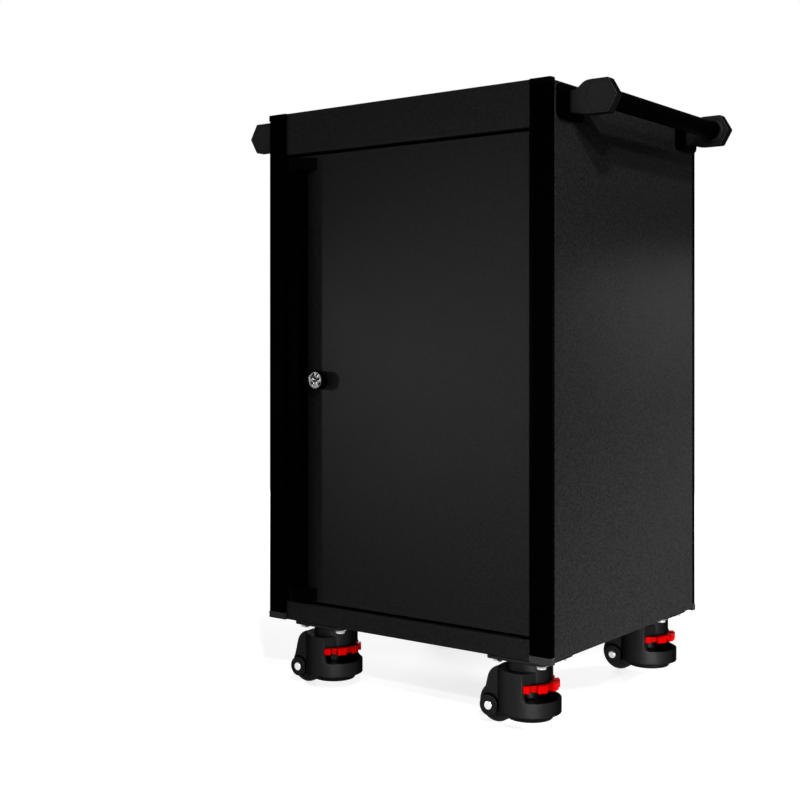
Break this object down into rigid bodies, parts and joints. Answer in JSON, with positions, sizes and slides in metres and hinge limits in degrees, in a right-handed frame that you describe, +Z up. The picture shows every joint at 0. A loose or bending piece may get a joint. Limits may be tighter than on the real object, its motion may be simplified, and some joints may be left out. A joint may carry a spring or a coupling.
{
  "type": "rolling tool locker",
  "caption": "Tall steel tool locker with one hinged door and a full-height pull, shelves inside, a push handle on each side and levelling swivel casters with red thumbwheels",
  "frame": {"origin": "on the floor under the middle of the whole outline, casters included", "axes": "+X to the locker's right seen from the front, -Y to the front with the door, +Z up"},
  "size_m": [0.8106, 0.574, 1.084],
  "materials": {
    "panel_paint": "satin fine texture",
    "shelf_paint": "satin fine texture",
    "post_black": "satin",
    "cap_plastic": "matte",
    "dark_screw": "black oxide",
    "tube_black": "satin",
    "bracket_black": "satin cast",
    "caster_black": "satin cast",
    "thumb_red": "satin moulded",
    "wheel_nylon": "satin moulded",
    "foot_black": "matte",
    "zinc_steel": "bright zinc",
    "bush_plastic": "matte",
    "lock_black": "gloss",
    "lock_face": "polished"
  },
  "bodies": {
    "cabinet": {"post_right_front": "post_black", "post_left_front": "post_black", "post_right_rear": "post_black", "post_left_rear": "post_black", "top_caps": "cap_plastic", "bottom_caps": "cap_plastic", "post_screws": "dark_screw", "side_panel_left": "panel_paint", "side_panel_right": "panel_paint", "back_panel": "panel_paint", "top_panel": "panel_paint", "base_pan": "panel_paint", "floor_panel": "panel_paint", "header_panel": "panel_paint", "bottom_rail": "panel_paint", "rear_rails": "panel_paint", "shelf_lower": "shelf_paint", "shelf_upper": "shelf_paint", "shelf_standards": "shelf_paint", "shelf_clips": "shelf_paint", "handle_tube_left": "tube_black", "handle_tube_right": "tube_black", "handle_brackets_left": "bracket_black", "handle_brackets_right": "bracket_black", "handle_screws": "dark_screw", "strike_plate": "zinc_steel", "hinge_pivots": "zinc_steel", "caster_plates": "caster_black", "caster_bolts": "zinc_steel"},
    "door": {"door_skin": "panel_paint", "door_liner": "panel_paint", "door_pull": "post_black", "pull_end_caps": "cap_plastic", "door_bushes": "bush_plastic", "lock_barrel": "lock_black", "lock_nut": "zinc_steel"},
    "lock": {"lock_plug": "lock_face", "lock_cam": "zinc_steel"},
    "swivel_right_front": {"caster_housing_right_front": "caster_black", "caster_axle_right_front": "zinc_steel"},
    "wheel_right_front": {"caster_wheel_right_front": "wheel_nylon"},
    "thumb_right_front": {"thumbwheel_right_front": "thumb_red"},
    "foot_right_front": {"levelling_foot_right_front": "foot_black"},
    "swivel_left_front": {"caster_housing_left_front": "caster_black", "caster_axle_left_front": "zinc_steel"},
    "wheel_left_front": {"caster_wheel_left_front": "wheel_nylon"},
    "thumb_left_front": {"thumbwheel_left_front": "thumb_red"},
    "foot_left_front": {"levelling_foot_left_front": "foot_black"},
    "swivel_right_rear": {"caster_housing_right_rear": "caster_black", "caster_axle_right_rear": "zinc_steel"},
    "wheel_right_rear": {"caster_wheel_right_rear": "wheel_nylon"},
    "thumb_right_rear": {"thumbwheel_right_rear": "thumb_red"},
    "foot_right_rear": {"levelling_foot_right_rear": "foot_black"},
    "swivel_left_rear": {"caster_housing_left_rear": "caster_black", "caster_axle_left_rear": "zinc_steel"},
    "wheel_left_rear": {"caster_wheel_left_rear": "wheel_nylon"},
    "thumb_left_rear": {"thumbwheel_left_rear": "thumb_red"},
    "foot_left_rear": {"levelling_foot_left_rear": "foot_black"}
  },
  "joints": [
    {"name": "door_hinge", "type": "hinge", "parent": "cabinet", "child": "door", "pos_m": [0.2545, -0.255, 0.165], "axis": [0, 0, 1], "range_deg": [0, 105]},
    {"name": "lock_turn", "type": "hinge", "parent": "door", "child": "lock", "pos_m": [-0.187, -0.263, 0.58], "axis": [0, 1, 0], "range_deg": [0, 90]},
    {"name": "caster_swivel_right_front", "type": "hinge", "parent": "cabinet", "child": "swivel_right_front", "pos_m": [0.238, -0.215, 0.1185], "axis": [0, 0, 1], "continuous": true},
    {"name": "wheel_spin_right_front", "type": "hinge", "parent": "swivel_right_front", "child": "wheel_right_front", "pos_m": [0.176, -0.215, 0.0335], "axis": [0, 1, 0], "continuous": true},
    {"name": "thumbwheel_turn_right_front", "type": "hinge", "parent": "swivel_right_front", "child": "thumb_right_front", "pos_m": [0.238, -0.215, 0.075], "axis": [0, 0, 1], "range_deg": [0, 2880]},
    {"name": "foot_lift_right_front", "type": "slide", "parent": "swivel_right_front", "child": "foot_right_front", "axis": [0, 0, -1], "range_m": [0, 0.02]},
    {"name": "caster_swivel_left_front", "type": "hinge", "parent": "cabinet", "child": "swivel_left_front", "pos_m": [-0.194, -0.215, 0.1185], "axis": [0, 0, 1], "continuous": true},
    {"name": "wheel_spin_left_front", "type": "hinge", "parent": "swivel_left_front", "child": "wheel_left_front", "pos_m": [-0.256, -0.215, 0.0335], "axis": [0, 1, 0], "continuous": true},
    {"name": "thumbwheel_turn_left_front", "type": "hinge", "parent": "swivel_left_front", "child": "thumb_left_front", "pos_m": [-0.194, -0.215, 0.075], "axis": [0, 0, 1], "range_deg": [0, 2880]},
    {"name": "foot_lift_left_front", "type": "slide", "parent": "swivel_left_front", "child": "foot_left_front", "axis": [0, 0, -1], "range_m": [0, 0.02]},
    {"name": "caster_swivel_right_rear", "type": "hinge", "parent": "cabinet", "child": "swivel_right_rear", "pos_m": [0.238, 0.231, 0.1185], "axis": [0, 0, 1], "continuous": true},
    {"name": "wheel_spin_right_rear", "type": "hinge", "parent": "swivel_right_rear", "child": "wheel_right_rear", "pos_m": [0.176, 0.231, 0.0335], "axis": [0, 1, 0], "continuous": true},
    {"name": "thumbwheel_turn_right_rear", "type": "hinge", "parent": "swivel_right_rear", "child": "thumb_right_rear", "pos_m": [0.238, 0.231, 0.075], "axis": [0, 0, 1], "range_deg": [0, 2880]},
    {"name": "foot_lift_right_rear", "type": "slide", "parent": "swivel_right_rear", "child": "foot_right_rear", "axis": [0, 0, -1], "range_m": [0, 0.02]},
    {"name": "caster_swivel_left_rear", "type": "hinge", "parent": "cabinet", "child": "swivel_left_rear", "pos_m": [-0.194, 0.231, 0.1185], "axis": [0, 0, 1], "continuous": true},
    {"name": "wheel_spin_left_rear", "type": "hinge", "parent": "swivel_left_rear", "child": "wheel_left_rear", "pos_m": [-0.256, 0.231, 0.0335], "axis": [0, 1, 0], "continuous": true},
    {"name": "thumbwheel_turn_left_rear", "type": "hinge", "parent": "swivel_left_rear", "child": "thumb_left_rear", "pos_m": [-0.194, 0.231, 0.075], "axis": [0, 0, 1], "range_deg": [0, 2880]},
    {"name": "foot_lift_left_rear", "type": "slide", "parent": "swivel_left_rear", "child": "foot_left_rear", "axis": [0, 0, -1], "range_m": [0, 0.02]}
  ],
  "couplings": [
    {"joint": "foot_lift_right_front", "follows": "thumbwheel_turn_right_front", "m_per_rad": 0.00039788},
    {"joint": "foot_lift_left_front", "follows": "thumbwheel_turn_left_front", "m_per_rad": 0.00039788},
    {"joint": "foot_lift_right_rear", "follows": "thumbwheel_turn_right_rear", "m_per_rad": 0.00039788},
    {"joint": "foot_lift_left_rear", "follows": "thumbwheel_turn_left_rear", "m_per_rad": 0.00039788}
  ]
}
